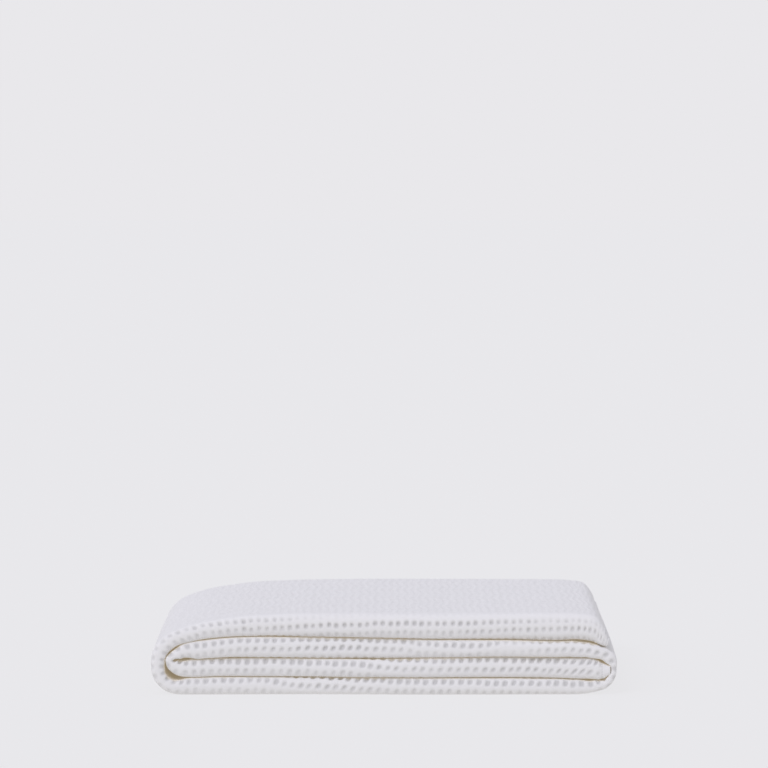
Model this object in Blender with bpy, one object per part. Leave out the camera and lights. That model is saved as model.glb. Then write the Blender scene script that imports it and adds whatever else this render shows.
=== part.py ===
"""A waffle weave cotton blanket, folded for the shelf.

The blanket is one cloth. It is folded in four along its length, which makes a
long strip of four layers. The strip's fold faces the front (-Y) and its hems
face the back (+Y). The strip is then rolled flat, end over end, into four bands
that lie on each other. Seen from the front it runs like this:

    inner end -> band C (leftwards) -> inner fold, up -> band B (rightwards)
    -> right wrap, down -> band D (leftwards) -> left wrap, up
    -> band A (rightwards) -> outer end

The solid is one cross-section of the strip, a ribbon bent back and forth
through its four layers, swept along that route.
"""

import math
from collections import namedtuple

import bmesh
import bpy

MM = 0.001

# ---- driving dimensions, in millimetres --------------------------------------

STRIP_DEPTH = 375.0        # front fold to back hems: a quarter of the 1.5 m cloth
CLOTH_THICKNESS = 4.4      # over the ridges of the weave, where nothing presses
LAYER_GAP = 0.5            # between two layers of the strip, at least
BAND_GAP = 0.9             # between two bands of the strip
HEM_SETBACK_TOP = 3.0      # the outermost layer's hem, in from the back
HEM_SETBACK_INNER = 8.0    # the other long hem, in from the back
HEM_ROUNDING = 1.6         # a hem thins over its last stretch of this length
HEM_THINNING = 0.62        # to this share of the cloth's thickness

BEND_FULLNESS = 2.6        # superellipse power of the bends, 2 is round
BEND_REACH = 0.85          # their depth, as a share of their half height

# How many pieces each stretch of the section is cut into.
RUN_STEPS = 4
FRONT_STEPS = 8
HAIRPIN_STEPS = 4

# How finely the route is cut: one station for this much length or turn.
STATION_LENGTH = 80.0
STATION_TURN = 18.0

# ---- the heights of the seams between the bands, at the front ----------------

Level = namedtuple("Level", "x seam_cd seam_bc seam_ab top")
LEVELS = [
    Level(x=-133, seam_cd=18.9, seam_bc=39.6, seam_ab=62.3, top=85.2),
    Level(x=-75, seam_cd=18.9, seam_bc=38.8, seam_ab=61.6, top=87.0),
    Level(x=-15, seam_cd=18.2, seam_bc=38.7, seam_ab=61.2, top=87.6),
    Level(x=60, seam_cd=17.9, seam_bc=39.7, seam_ab=59.7, top=87.6),
    Level(x=125, seam_cd=17.7, seam_bc=40.8, seam_ab=59.0, top=87.6),
    Level(x=185, seam_cd=17.1, seam_bc=40.1, seam_ab=57.3, top=87.5),
]

# ---- the places that the strip's middle passes between the flat runs ---------
# heading: degrees, 0 to the right, 90 up. half: half the strip's thickness.
# course: the way the middle runs, where it is not square to the strip's section.
# growth: how fast half changes along the strip there.

Place = namedtuple("Place", "x z half heading course growth", defaults=[None, 0.0])
INNER_END = [
    Place(x=242.4, z=26.0, half=5.5, heading=180, course=188, growth=0.5),
    Place(x=236.4, z=25.1, half=9.0, heading=180, course=176, growth=0.26),
    Place(x=222.9, z=27.6, half=11.1, heading=178, course=175, growth=0.06),
    Place(x=206.0, z=28.0, half=11.3, heading=178),
]
C_TO_B_BELOW = [
    Place(x=-174.2, z=29.2, half=9.6, heading=180),
    Place(x=-206.0, z=28.1, half=9.4, heading=180),
    Place(x=-225.4, z=30.9, half=6.9, heading=149, growth=-0.25),
]
C_TO_B_ABOVE = [
    Place(x=-231.2, z=37.0, half=3.8, heading=90),
    Place(x=-219.8, z=45.0, half=6.2, heading=30, growth=0.2),
    Place(x=-199.4, z=48.2, half=9.7, heading=6),
    Place(x=-174.5, z=50.3, half=10.2, heading=4),
]
B_TO_D = [
    Place(x=206.4, z=48.5, half=8.3, heading=-8),
    Place(x=223.3, z=47.0, half=7.5, heading=-15),
    Place(x=243.0, z=39.4, half=6.5, heading=-48),
    Place(x=247.7, z=27.5, half=2.7, heading=-90),
    Place(x=242.4, z=14.6, half=3.8, heading=-128),
    Place(x=227.3, z=8.9, half=5.9, heading=-168),
    Place(x=206.4, z=7.9, half=7.8, heading=-178),
]
D_TO_A = [
    Place(x=-174.4, z=9.3, half=9.3, heading=180),
    Place(x=-206.4, z=8.9, half=8.9, heading=180),
    Place(x=-236.1, z=13.3, half=6.6, heading=138),
    Place(x=-243.6, z=32.0, half=7.1, heading=90, growth=0.03),
    Place(x=-234.6, z=54.0, half=7.8, heading=50, course=43, growth=0.03),
    Place(x=-210.0, z=65.2, half=8.5, heading=24, course=16, growth=0.03),
    Place(x=-175.2, z=71.2, half=9.6, heading=9, course=6.5, growth=0.03),
]
OUTER_END = [
    Place(x=209.3, z=72.7, half=13.9, heading=-4, course=-5, growth=-0.03),
    Place(x=225.2, z=70.3, half=13.4, heading=-8, course=-21, growth=-0.16),
    Place(x=234.6, z=62.8, half=9.4, heading=-14, course=-41, growth=-0.44),
    Place(x=239.9, z=56.9, half=4.7, heading=-14, course=-46, growth=-0.6),
]

# ---- unevenness ---------------------------------------------------------------

FRONT_WANDER = 1.3         # how far the front fold strays to and fro
FRONT_WAVE = 310.0         # along this much of the strip
BACK_WANDER = 2.4          # the same for the back, where nothing was squared up
BACK_WAVE = 730.0
SWELL_TOP = 1.1            # how far the layers swell and sink, at the top
SWELL_SIDE = 0.4           # how far the two sides bow in and out
SWELL_X = 330.0            # the swells' lengths
SWELL_Y = 420.0
SWELL_PHASE_X = 0.13       # where they start, as shares of a wave
SWELL_PHASE_Y = 0.05
SWELL_LEAN = 0.6           # how far the bow of the sides shifts from floor to top
SWELL_RIDGE_SHARE = 0.4    # the part of the top's swell that runs right across
BACK_SPREAD = 0.006        # how much wider the pile is at the back
BACK_LEAN = 1.5            # and how far to the right it lies there
PILE_HEIGHT = 87.0
PILE_HALF_WIDTH = 251.5

CLOTH_COLOUR = (0.78, 0.765, 0.74, 1.0)
CLOTH_ROUGHNESS = 0.9

Band = namedtuple("Band", "below above")
Station = namedtuple("Station", "x z half outward distance")


def band_place(level, band):
    """The middle and half thickness of a band at one of the seam heights.

    The bottom band lies level on its underside; the others follow their seams.
    """
    lift = BAND_GAP / 2
    low = 0.0 if band.below is None else getattr(level, band.below) + lift
    high = getattr(level, band.above)
    if band.above != "top":
        high -= lift
    heading = 180 if band.below is None else None
    return Place(level.x, (low + high) / 2, (high - low) / 2, heading)


def flat_run(band, rightwards):
    """A band's places along the levels, in the order the strip runs."""
    levels = LEVELS if rightwards else reversed(LEVELS)
    return [band_place(level, band) for level in levels]


def route_places():
    """Every place the strip's middle passes, from its inner end to its outer."""
    band_a = Band(below="seam_ab", above="top")
    band_b = Band(below="seam_bc", above="seam_ab")
    band_c = Band(below="seam_cd", above="seam_bc")
    band_d = Band(below=None, above="seam_cd")
    places = INNER_END + flat_run(band_c, False)
    places += C_TO_B_BELOW + C_TO_B_ABOVE + flat_run(band_b, True)
    places += B_TO_D + flat_run(band_d, False)
    places += D_TO_A + flat_run(band_a, True) + OUTER_END
    return [with_heading(places, i) for i in range(len(places))]


def with_heading(places, index):
    """A flat run's place heads from the place before it to the one after."""
    place = places[index]
    if place.heading is not None:
        return place
    before = places[index - 1]
    after = places[index + 1]
    heading = math.degrees(math.atan2(after.z - before.z, after.x - before.x))
    return place._replace(heading=heading)


def turn_between(start, end):
    """The turn from one heading to the next, in degrees, between -180 and 180."""
    return (end.heading - start.heading + 180.0) % 360.0 - 180.0


def handle(place, chord, turn):
    """A tangent that makes a quarter turn close to a quarter of an ellipse."""
    angle = math.radians(place.heading if place.course is None else place.course)
    direction = (math.cos(angle), math.sin(angle))
    along = direction[0] * chord[0] + direction[1] * chord[1]
    stretch = along * (1.0 + 0.66 * abs(turn) / 90.0)
    return (direction[0] * stretch, direction[1] * stretch)


def route_stations():
    """The stations along the strip, from its inner end to its outer end."""
    places = route_places()
    stations = []
    for start, end in zip(places, places[1:]):
        length = math.hypot(end.x - start.x, end.z - start.z)
        turn = abs(turn_between(start, end))
        steps = max(1, round(length / STATION_LENGTH), round(turn / STATION_TURN))
        for step in range(steps):
            stations.append(station_between(start, end, step / steps))
    stations.append(station_between(places[-2], places[-1], 1.0))
    return with_distances(stations)


def station_between(start, end, t):
    """A smooth point between two places, with the strip's outward direction."""
    chord = (end.x - start.x, end.z - start.z)
    turn = turn_between(start, end)
    tangent_0 = handle(start, chord, turn)
    tangent_1 = handle(end, chord, turn)
    ease = 3 * t ** 2 - 2 * t ** 3
    leave = t ** 3 - 2 * t ** 2 + t
    arrive = t ** 3 - t ** 2
    x = start.x + ease * chord[0] + leave * tangent_0[0] + arrive * tangent_1[0]
    z = start.z + ease * chord[1] + leave * tangent_0[1] + arrive * tangent_1[1]
    half = start.half + ease * (end.half - start.half)
    half += math.hypot(*chord) * (leave * start.growth + arrive * end.growth)
    heading = math.radians(start.heading + turn * t)
    return Station(x, z, half, (-math.sin(heading), math.cos(heading)), 0.0)


def with_distances(stations):
    """Each station is told how far along the strip it lies."""
    measured = [stations[0]]
    for station in stations[1:]:
        last = measured[-1]
        step = math.hypot(station.x - last.x, station.z - last.z)
        measured.append(station._replace(distance=last.distance + step))
    return measured


def run(start, end, level):
    """A straight layer in the section, without its two ends."""
    step = (end - start) / RUN_STEPS
    return [(start + step * i, level) for i in range(1, RUN_STEPS)]


def bend(tip, reach, middle, half, steps):
    """A bend from one layer to the next, from middle + half to middle - half.

    A positive reach bulges to the front, a negative one to the back.
    """
    power = 2.0 / BEND_FULLNESS
    points = []
    for step in range(steps + 1):
        angle = math.pi * (0.5 - step / steps)
        bulge = abs(math.cos(angle)) ** power
        rise = math.copysign(abs(math.sin(angle)) ** power, angle)
        points.append((tip + reach * (1.0 - bulge), middle + half * rise))
    return points


def face(outer_half, outer_tip, inner_half, inner_tip, back_tip, hem_line):
    """One face of the folded ribbon, from the top layer's hem to the inner hem.

    It runs forward over the top layer, round the front, back under the bottom
    layer, round the back, forward again, round the inner bend and back.
    """
    outer_reach = BEND_REACH * outer_half
    inner_reach = BEND_REACH * inner_half
    back_half = (outer_half - inner_half) / 2
    back_middle = -(outer_half + inner_half) / 2
    top_hem = hem_line - HEM_SETBACK_TOP
    inner_hem = hem_line - HEM_SETBACK_INNER
    points = [(top_hem, outer_half), (top_hem - HEM_ROUNDING, outer_half)]
    points += run(top_hem, outer_tip + outer_reach, outer_half)
    points += bend(outer_tip, outer_reach, 0.0, outer_half, FRONT_STEPS)
    points += run(outer_tip + outer_reach, back_tip - back_half, -outer_half)
    points += bend(back_tip, -back_half, back_middle, -back_half, HAIRPIN_STEPS)
    points += run(back_tip - back_half, inner_tip + inner_reach, -inner_half)
    points += bend(inner_tip, inner_reach, 0.0, -inner_half, HAIRPIN_STEPS)
    points += run(inner_tip + inner_reach, inner_hem, inner_half)
    points += [(inner_hem - HEM_ROUNDING, inner_half), (inner_hem, inner_half)]
    return points


def section(half, front, back, thinning):
    """Both faces of the folded ribbon, as matching lists of (y, outward)."""
    cloth = min(CLOTH_THICKNESS, (2 * half - 3 * LAYER_GAP) / 4)
    gap = (2 * half - 4 * cloth) / 3
    over = face(half, front, gap / 2, front + 2 * cloth + gap, back, back)
    under = face(half - cloth, front + cloth, cloth + gap / 2, front + cloth + gap,
                 back - cloth, back)
    last = len(over) - 1
    pairs = []
    for i, (upper, lower) in enumerate(zip(over, under)):
        share = HEM_THINNING if i in (0, last) else thinning
        pairs.append(thinned(upper, lower, share))
    return pairs


def thinned(upper, lower, share):
    """Two facing points, drawn together to a share of their distance."""
    middle = ((upper[0] + lower[0]) / 2, (upper[1] + lower[1]) / 2)
    return [tuple(m + (p - m) * share for p, m in zip(point, middle))
            for point in (upper, lower)]


def wave(place, length, phase):
    """A slow swell along one direction, between -1 and 1."""
    return math.sin(math.tau * (place / length + phase))


def uneven(x, y, z):
    """Small swells of the whole pile. The underside, at z = 0, stays flat."""
    rise = z / PILE_HEIGHT
    across = wave(y, SWELL_Y, SWELL_PHASE_Y)
    along = wave(x, SWELL_X, SWELL_PHASE_X)
    swell = across * (SWELL_RIDGE_SHARE + (1 - SWELL_RIDGE_SHARE) * along)
    z += SWELL_TOP * rise * swell
    bow = SWELL_SIDE * wave(y, SWELL_Y, SWELL_LEAN * rise)
    x += x / PILE_HALF_WIDTH * bow
    behind = y / STRIP_DEPTH + 0.5
    x = x * (1.0 + BACK_SPREAD * behind) + BACK_LEAN * behind
    return (x, y, z)


def past_end(station, sign):
    """The strip's very end, a hem's rounding past its last full station."""
    reach = sign * HEM_ROUNDING
    x = station.x + station.outward[1] * reach
    z = station.z - station.outward[0] * reach
    return station._replace(x=x, z=z)


def strip_rows():
    """The rows of points of the swept strip, one row for each station."""
    stations = route_stations()
    full = [station_row(station, 1.0) for station in stations]
    first = station_row(past_end(stations[0], -1), HEM_THINNING)
    last = station_row(past_end(stations[-1], 1), HEM_THINNING)
    return [first] + full + [last]


def station_row(station, thinning):
    """The section at one station, as pairs of points on the cloth's two faces."""
    front = -STRIP_DEPTH / 2 + FRONT_WANDER * wave(station.distance, FRONT_WAVE, 0)
    back = STRIP_DEPTH / 2 + BACK_WANDER * wave(station.distance, BACK_WAVE, 0)
    pairs = section(station.half, front, back, thinning)
    return [[placed(station, y, w) for y, w in pair] for pair in pairs]


def placed(station, y, w):
    """A point of the section, w outward from the strip's middle."""
    x = station.x + station.outward[0] * w
    z = station.z + station.outward[1] * w
    return uneven(x, y, max(z, 0.0))


def add_strip(mesh, rows):
    """Faces of the swept ribbon: its two sides, two long hems and two ends."""
    verts = [[[mesh.verts.new(point) for point in pair] for pair in row] for row in rows]
    width = len(rows[0])
    for row, following in zip(verts, verts[1:]):
        for i in range(width - 1):
            for side in (0, 1):
                corners = [row[i][side], row[i + 1][side],
                           following[i + 1][side], following[i][side]]
                mesh.faces.new(corners if side else reversed(corners))
        for i, flip in ((0, False), (width - 1, True)):
            corners = [row[i][0], row[i][1], following[i][1], following[i][0]]
            mesh.faces.new(reversed(corners) if flip else corners)
    for row, flip in ((verts[0], True), (verts[-1], False)):
        for i in range(width - 1):
            corners = [row[i][0], row[i][1], row[i + 1][1], row[i + 1][0]]
            mesh.faces.new(reversed(corners) if flip else corners)


def centred(mesh):
    """The origin goes to the middle of the pile's underside."""
    for axis in (0, 1):
        values = [vert.co[axis] for vert in mesh.verts]
        middle = (min(values) + max(values)) / 2
        for vert in mesh.verts:
            vert.co[axis] -= middle


def cotton():
    """White waffle cotton, slightly warm."""
    material = bpy.data.materials.new("waffle_cotton")
    material.use_nodes = True
    shader = material.node_tree.nodes["Principled BSDF"]
    shader.inputs["Base Color"].default_value = CLOTH_COLOUR
    shader.inputs["Roughness"].default_value = CLOTH_ROUGHNESS
    shader.inputs["Metallic"].default_value = 0.0
    return material


def build_blanket():
    """The folded blanket, in metres."""
    mesh = bmesh.new()
    add_strip(mesh, strip_rows())
    centred(mesh)
    bmesh.ops.scale(mesh, vec=(MM, MM, MM), verts=mesh.verts)
    bmesh.ops.recalc_face_normals(mesh, faces=mesh.faces)
    data = bpy.data.meshes.new("blanket")
    mesh.to_mesh(data)
    mesh.free()
    data.materials.append(cotton())
    data.shade_smooth()
    blanket = bpy.data.objects.new("blanket", data)
    bpy.context.scene.collection.objects.link(blanket)
    return blanket


def clear_scene():
    """Start from an empty scene."""
    for thing in list(bpy.data.objects):
        bpy.data.objects.remove(thing, do_unlink=True)


clear_scene()
build_blanket()
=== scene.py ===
import math
from collections import namedtuple

import bpy
import numpy as np
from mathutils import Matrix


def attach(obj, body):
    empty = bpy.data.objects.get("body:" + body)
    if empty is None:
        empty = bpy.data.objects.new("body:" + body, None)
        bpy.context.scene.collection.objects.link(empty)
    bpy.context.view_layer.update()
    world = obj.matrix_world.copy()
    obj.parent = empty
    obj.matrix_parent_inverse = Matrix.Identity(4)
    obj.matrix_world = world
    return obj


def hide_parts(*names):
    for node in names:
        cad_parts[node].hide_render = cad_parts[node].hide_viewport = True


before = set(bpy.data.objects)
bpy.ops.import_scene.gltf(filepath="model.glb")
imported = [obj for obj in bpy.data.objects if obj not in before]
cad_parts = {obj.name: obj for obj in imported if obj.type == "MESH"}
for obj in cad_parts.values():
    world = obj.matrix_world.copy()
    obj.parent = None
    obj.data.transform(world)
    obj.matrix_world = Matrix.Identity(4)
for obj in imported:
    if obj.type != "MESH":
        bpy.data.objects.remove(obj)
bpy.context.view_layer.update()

# The looks of a folded waffle weave cotton blanket.
#
# The cloth is one rectangle. A point on it has two coordinates: u counts the
# waffle's cells along the strip, from the inner end of the roll to the outer
# end, and v counts the cells across the strip, from the front fold: negative
# over the outermost layer to its long hem, positive under the bottom layer,
# round the back and through the two inner layers to the other long hem.
# Every piece here is a stretch of that one cloth, laid on the fold of the solid.

MM = 0.001

# ---- the fold, in millimetres, as in the solid ---------------------------------

STRIP_DEPTH = 375.0
CLOTH_THICKNESS = 4.4
LAYER_GAP = 0.5
BAND_GAP = 0.9
HEM_SETBACK_TOP = 3.0
HEM_SETBACK_INNER = 8.0
HEM_ROUNDING = 1.6
BEND_FULLNESS = 2.6        # superellipse power of the bends: 2 is round
BEND_REACH = 0.85          # how deep the front bends are, as a share of their half height
TANGENT_STRETCH = 0.66     # how much longer a tangent is at a quarter turn

# The heights of the seams between the bands, A at the top to D at the bottom.
Level = namedtuple("Level", "x seam_cd seam_bc seam_ab top")
LEVELS = [
    Level(x=-133, seam_cd=18.9, seam_bc=39.6, seam_ab=62.3, top=85.2),
    Level(x=-75, seam_cd=18.9, seam_bc=38.8, seam_ab=61.6, top=87.0),
    Level(x=-15, seam_cd=18.2, seam_bc=38.7, seam_ab=61.2, top=87.6),
    Level(x=60, seam_cd=17.9, seam_bc=39.7, seam_ab=59.7, top=87.6),
    Level(x=125, seam_cd=17.7, seam_bc=40.8, seam_ab=59.0, top=87.6),
    Level(x=185, seam_cd=17.1, seam_bc=40.1, seam_ab=57.3, top=87.5),
]

# Places that the strip's middle passes: half is its half thickness, heading the
# direction it lies in, in degrees, course that of its middle line where it is
# another one, and growth how fast the half thickness grows along the route.
Place = namedtuple("Place", "x z half heading course growth", defaults=[None, 0.0])
INNER_END = [
    Place(x=242.4, z=26.0, half=5.5, heading=180, course=188, growth=0.5),
    Place(x=236.4, z=25.1, half=9.0, heading=180, course=176, growth=0.26),
    Place(x=222.9, z=27.6, half=11.1, heading=178, course=175, growth=0.06),
    Place(x=206.0, z=28.0, half=11.3, heading=178),
]
C_TO_B_BELOW = [
    Place(x=-174.2, z=29.2, half=9.6, heading=180),
    Place(x=-206.0, z=28.1, half=9.4, heading=180),
    Place(x=-225.4, z=30.9, half=6.9, heading=149, growth=-0.25),
]
C_TO_B_ABOVE = [
    Place(x=-231.2, z=37.0, half=3.8, heading=90),
    Place(x=-219.8, z=45.0, half=6.2, heading=30, growth=0.2),
    Place(x=-199.4, z=48.2, half=9.7, heading=6),
    Place(x=-174.5, z=50.3, half=10.2, heading=4),
]
B_TO_D = [
    Place(x=206.4, z=48.5, half=8.3, heading=-8),
    Place(x=223.3, z=47.0, half=7.5, heading=-15),
    Place(x=243.0, z=39.4, half=6.5, heading=-48),
    Place(x=247.7, z=27.5, half=2.7, heading=-90),
    Place(x=242.4, z=14.6, half=3.8, heading=-128),
    Place(x=227.3, z=8.9, half=5.9, heading=-168),
    Place(x=206.4, z=7.9, half=7.8, heading=-178),
]
D_TO_A = [
    Place(x=-174.4, z=9.3, half=9.3, heading=180),
    Place(x=-206.4, z=8.9, half=8.9, heading=180),
    Place(x=-236.1, z=13.3, half=6.6, heading=138),
    Place(x=-243.6, z=32.0, half=7.1, heading=90, growth=0.03),
    Place(x=-234.6, z=54.0, half=7.8, heading=50, course=43, growth=0.03),
    Place(x=-210.0, z=65.2, half=8.5, heading=24, course=16, growth=0.03),
    Place(x=-175.2, z=71.2, half=9.6, heading=9, course=6.5, growth=0.03),
]
OUTER_END = [
    Place(x=209.3, z=72.7, half=13.9, heading=-4, course=-5, growth=-0.03),
    Place(x=225.2, z=70.3, half=13.4, heading=-8, course=-21, growth=-0.16),
    Place(x=234.6, z=62.8, half=9.4, heading=-14, course=-41, growth=-0.44),
    Place(x=239.9, z=56.9, half=4.7, heading=-14, course=-46, growth=-0.6),
]

# Slow waves of the front and back edges, swells of the pile, and its spread.
FRONT_WANDER = 1.3
FRONT_WAVE = 310.0
BACK_WANDER = 2.4
BACK_WAVE = 730.0
SWELL_TOP = 1.1
SWELL_SIDE = 0.4
SWELL_X = 330.0
SWELL_Y = 420.0
SWELL_PHASE_X = 0.13
SWELL_PHASE_Y = 0.05
SWELL_LEAN = 0.6
SWELL_RIDGE_SHARE = 0.4
BACK_SPREAD = 0.006        # how much wider the pile is at its back, as a share
BACK_LEAN = 1.5            # and how far its back lies to the right
PILE_HEIGHT = 87.0
PILE_HALF_WIDTH = 251.5

# ---- the weave -------------------------------------------------------------------

ROW_PITCH = 9.5            # a cell's size across the strip
PIT_DEPTH = 0.41           # of a pit, as a share of the cloth's thickness
PIT_LIMIT = 0.46           # and the most it may be
PIT_REACH = 0.38           # from a pit's middle to its rim, in cells
PIT_FLOOR = 0.30           # how much of that reach its floor takes
PIT_SQUARENESS = 2.4       # of its outline: 2 is round
PIT_SHIFT = 0.06           # how far a pit may lie off its cell's middle, in cells
PIT_SPREAD = 0.12          # how far its reach may differ, as a share
PIT_VARIETY = 0.2          # and its depth
UPPER_PITS = 0.75          # how much deeper the pits are at the top of each fold
TOP_PRESSED = 0.56         # how much shallower the pits are on the top
EDGE_PRESSED = 0.36        # and how much more so where the top begins
PRESS_WIDTH = 5.5          # both set in over this much of the cloth, in millimetres
TOP_EASED = (17.0, 32.0)   # and the second fades between these, from the front fold
WANDER = 1.6               # how far the cells stray to the sides, away from the front
WANDER_WAVES = (73.0, 190.0)       # how long its waves are, across the strip and along
WANDER_ROWS = (25.0, 60.0)         # it sets in between these, from the front fold
END_EASE = 30.0            # straying and slant set in over this much of either end
SCATTER_STEPS = (12.9898, 78.233, 37.719)      # of a cell's row, its column and a seed
SCATTER_SCALE = 43758.5453
NAP = 0.25                 # the loose fibres stand this far proud of the solid
GROUND_THICKNESS = 0.06    # of the web under the cells, as a share of the cloth's
HEM_FLAT = 9.0             # a hem's plain width, and the step from it to the cells
HEM_STEP = 4.0
HEM_PRESSED = 0.7          # a hem's thickness, as a share of the cloth's
EDGE_ROUND = 1.5           # how far in from its edge a hem is rounded
END_TUCKED = 7.0           # so much of the outer end's hem is turned under

# How the cells lie at places along the roll: leg 0 to 3 are bands C, B, D, A,
# each with its fold; x along the pile; pitch of the cells along the strip; drift
# of their rows across the front fold; slant of their columns there; depth of
# their pits; and how far above the front fold the cloth begins to be pressed.
Weave = namedtuple("Weave", "leg x pitch drift slant depth press", defaults=[7.5])
WEAVE = [
    Weave(leg=0, x=240, pitch=8.0, drift=7.5, slant=0.9, depth=0.7),
    Weave(leg=0, x=212, pitch=8.2, drift=8.2, slant=0.9, depth=1.0),
    Weave(leg=0, x=168, pitch=8.9, drift=7.2, slant=0.5, depth=1.05),
    Weave(leg=0, x=100, pitch=9.5, drift=7.0, slant=0.3, depth=1.0),
    Weave(leg=0, x=60, pitch=9.6, drift=7.0, slant=0.4, depth=0.9),
    Weave(leg=0, x=20, pitch=9.6, drift=5.5, slant=0.5, depth=0.8),
    Weave(leg=0, x=-40, pitch=9.5, drift=0.0, slant=0.3, depth=1.1),
    Weave(leg=0, x=-140, pitch=9.5, drift=-1.2, slant=0.2, depth=1.0),
    Weave(leg=0, x=-225, pitch=9.3, drift=-1.0, slant=0.0, depth=0.9),
    Weave(leg=1, x=-200, pitch=9.1, drift=0.0, slant=0.1, depth=0.85),
    Weave(leg=1, x=-130, pitch=9.2, drift=3.0, slant=0.3, depth=0.95),
    Weave(leg=1, x=-45, pitch=9.2, drift=5.2, slant=0.4, depth=1.25),
    Weave(leg=1, x=15, pitch=9.3, drift=3.4, slant=0.3, depth=0.7),
    Weave(leg=1, x=45, pitch=9.3, drift=0.0, slant=0.2, depth=0.7),
    Weave(leg=1, x=90, pitch=9.3, drift=-2.0, slant=0.3, depth=1.05),
    Weave(leg=1, x=140, pitch=9.2, drift=1.5, slant=0.1, depth=0.35),
    Weave(leg=1, x=195, pitch=8.9, drift=4.2, slant=0.3, depth=0.95),
    Weave(leg=1, x=245, pitch=9.0, drift=4.5, slant=0.1, depth=0.9),
    Weave(leg=2, x=220, pitch=9.2, drift=11.5, slant=0.1, depth=1.0),
    Weave(leg=2, x=165, pitch=9.4, drift=11.2, slant=0.4, depth=1.2),
    Weave(leg=2, x=70, pitch=9.5, drift=9.8, slant=0.3, depth=1.3),
    Weave(leg=2, x=15, pitch=9.5, drift=9.4, slant=0.4, depth=1.0),
    Weave(leg=2, x=-30, pitch=9.5, drift=7.2, slant=0.6, depth=1.0),
    Weave(leg=2, x=-80, pitch=9.5, drift=4.7, slant=0.5, depth=0.9),
    Weave(leg=2, x=-140, pitch=9.4, drift=-0.6, slant=0.4, depth=0.75),
    Weave(leg=2, x=-215, pitch=9.2, drift=-0.5, slant=0.1, depth=0.7),
    Weave(leg=3, x=-235, pitch=9.0, drift=1.0, slant=0.0, depth=0.8, press=3.0),
    Weave(leg=3, x=-180, pitch=8.6, drift=1.2, slant=0.0, depth=0.95, press=3.0),
    Weave(leg=3, x=-130, pitch=8.3, drift=1.5, slant=0.0, depth=1.05, press=3.0),
    Weave(leg=3, x=-50, pitch=8.3, drift=5.2, slant=0.0, depth=1.1, press=3.0),
    Weave(leg=3, x=20, pitch=8.3, drift=8.0, slant=0.1, depth=1.0, press=3.0),
    Weave(leg=3, x=65, pitch=8.3, drift=8.2, slant=0.1, depth=1.0, press=3.0),
    Weave(leg=3, x=190, pitch=8.0, drift=12.4, slant=0.0, depth=1.0, press=3.0),
    Weave(leg=3, x=222, pitch=5.8, drift=12.6, slant=0.0, depth=0.9, press=3.0),
    Weave(leg=3, x=238, pitch=3.6, drift=12.6, slant=0.0, depth=0.7, press=3.0),
]
SLANT_REACH = 16.0         # the slant fades this far from the front fold

# Between the bands the cloth has painted warm shade and a painted glow, for the light that
# reaches it through the cloth.
FOLD_SHADE_HEIGHT = (0.92, 1.0)    # from the strip's middle, 1 at its outer layers
FOLD_SHADE_FADE = 60.0     # it fades from here to twice as far, from the front fold
LAST_FOLD_X = 226.0        # past here in band B the top layer is the roll's outside

# ---- how finely the pieces are cut ------------------------------------------------

CLOSE_CUTS = 8             # cuts across a cell on the front, which is seen closely
CELL_CUTS = 6              # on the other faces that are seen
PLAIN_CUTS = 3             # and where little is seen
FRONT_ROWS = 3             # the front piece reaches this many cells either way
BEND_CUTS = 14             # and round the tight turns
HEM_ROWS = 1.7             # how far a hem's piece reaches in, in cells
TURN_ROWS = 1.4            # how far the back fold's piece reaches past the turn
BACK_TURN_LENGTH = 8.2     # of the cloth round the back fold, in millimetres
INNER_TURN_LENGTH = 9.0    # and round the fold behind the front
EDGE_CUTS = (0.0, 0.12, 0.45, 0.95, 1.5, 2.4)      # in from a hem's edge, in mm
ON_CUT = 1e-6              # an end this near to a cut lies on it, in cells
ONE_CUT = 1e-5             # cuts this near to each other are one
CUT_DIGITS = 6             # to which they are rounded where two runs meet

# The ground is plain, so it is cut only where the cloth turns or ends.
GROUND_FLAT = 0.4          # cuts across a cell where it is flat
GROUND_TURN = 1.4          # where the roll turns
GROUND_FRONT = 2.5         # on the front fold
GROUND_BEND = 8            # and round the tight turns
GROUND_LOOK = (-2.0, 3.0)  # the roll turns where, from and to so many cells on,
GROUND_TURNING = 4.0       # its heading changes by more than this, in degrees
GROUND_CLEAR = 0.5         # and the cuts of its ends have this much to themselves

# Where along x the pieces of the outside part.
RIGHT_WRAP_X = (200.0, 205.0)      # the side's, from band B round to band D
LEFT_WRAP_X = -244.0               # the top's, at the turn up round the left side
LEFT_WRAP_LEAD = 7.0               # or rather so many cells before it

ROUTE_SAMPLES = 40         # on each stretch of the route
UNIT_SAMPLES = 4000        # round a bend
MIDDLE_SAMPLES = (1200, 700)       # along and across, to find the pile's middle
MIDDLE_ROWS = 1.5          # which go so many cells round the back fold
NO_CELLS = 0.999           # a share of the cloth's thickness that leaves its cells out


# ---- the roll's route ---------------------------------------------------------------

def band_place(level, below, above):
    """The middle and half thickness of a band at one of the seam heights."""
    lift = BAND_GAP / 2
    low = 0.0 if below is None else getattr(level, below) + lift
    high = getattr(level, above)
    if above != "top":
        high -= lift
    heading = 180 if below is None else None
    return Place(level.x, (low + high) / 2, (high - low) / 2, heading)


def route_places():
    """Every place the strip's middle passes, from its inner end to its outer."""
    leftwards = list(reversed(LEVELS))
    places = INNER_END + [band_place(x, "seam_cd", "seam_bc") for x in leftwards]
    places += C_TO_B_BELOW + C_TO_B_ABOVE
    places += [band_place(x, "seam_bc", "seam_ab") for x in LEVELS]
    places += B_TO_D + [band_place(x, None, "seam_cd") for x in leftwards]
    places += D_TO_A + [band_place(x, "seam_ab", "top") for x in LEVELS] + OUTER_END
    return [with_heading(places, i) for i in range(len(places))]


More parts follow.
